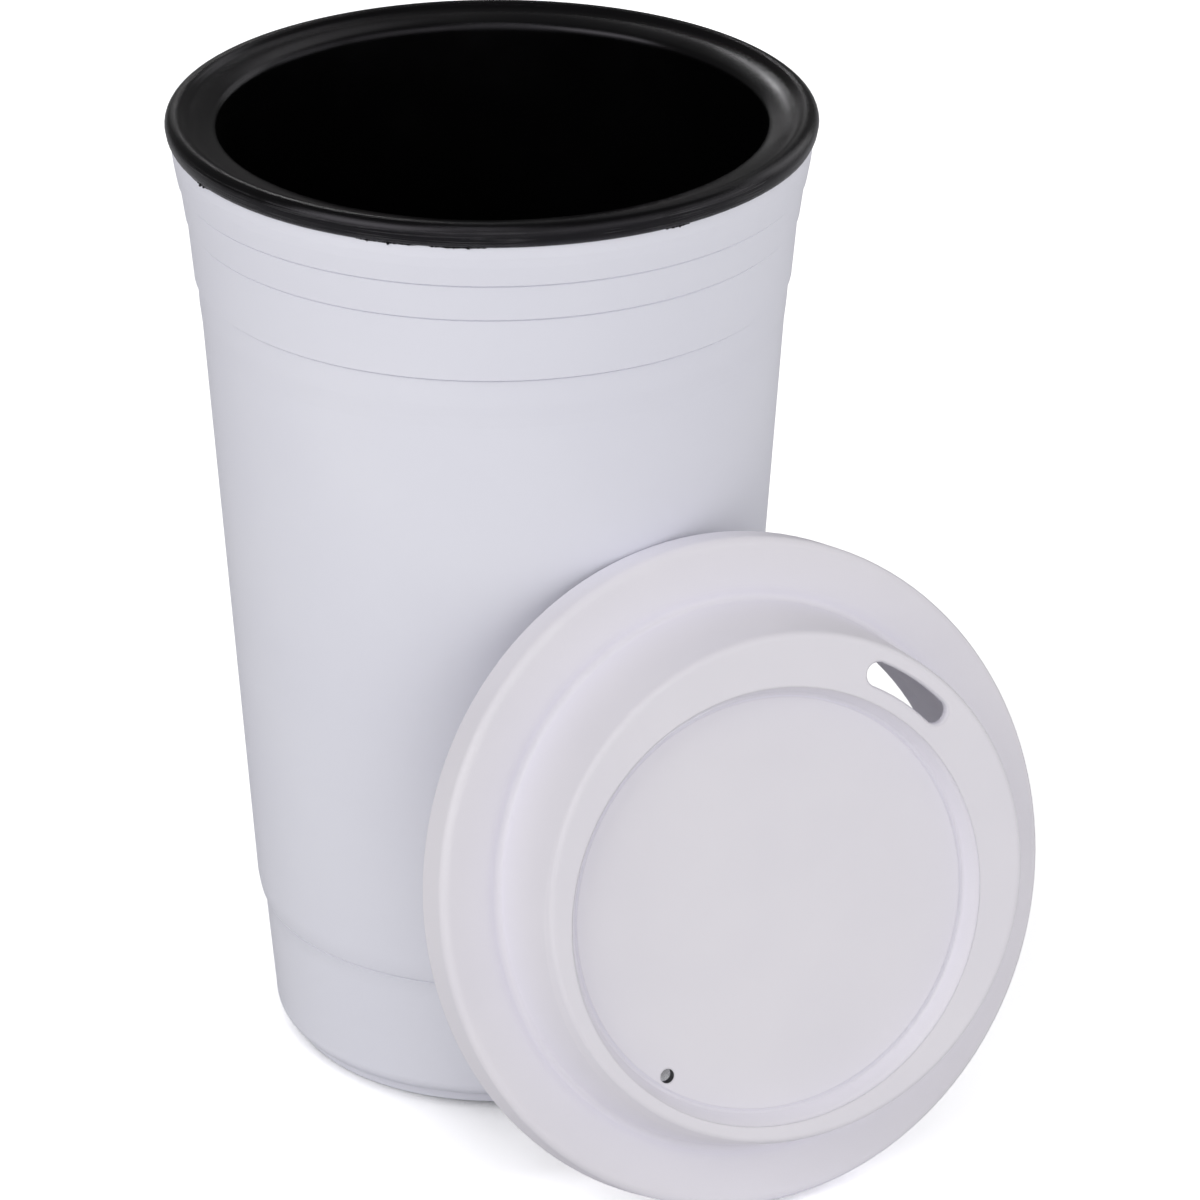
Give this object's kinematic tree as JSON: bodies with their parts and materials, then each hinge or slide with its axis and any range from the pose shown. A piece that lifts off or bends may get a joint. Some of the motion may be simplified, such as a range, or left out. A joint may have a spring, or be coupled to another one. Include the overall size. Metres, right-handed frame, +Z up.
{
  "type": "reusable coffee cup",
  "caption": "Tapered double-wall drinking cup with a broad dark rim, and its push-on sipping lid leaning against the side.",
  "frame": {"origin": "centre of the foot ring, on the surface the cup stands on", "axes": "+Z up along the cup's axis; +Y away from the viewer of the picture, +X to the viewer's right; the lid leans on the cup's side between +X and -Y"},
  "size_m": [0.1314, 0.1302, 0.1527],
  "materials": {
    "white_shell": "satin moulded polypropylene, white with a faint cool tinge",
    "black_liner": "satin moulded polypropylene, black",
    "white_lid": "satin moulded polypropylene, white"
  },
  "bodies": {
    "root": {"outer_shell": "white_shell", "inner_liner": "black_liner", "lid": "white_lid"}
  },
  "joints": []
}
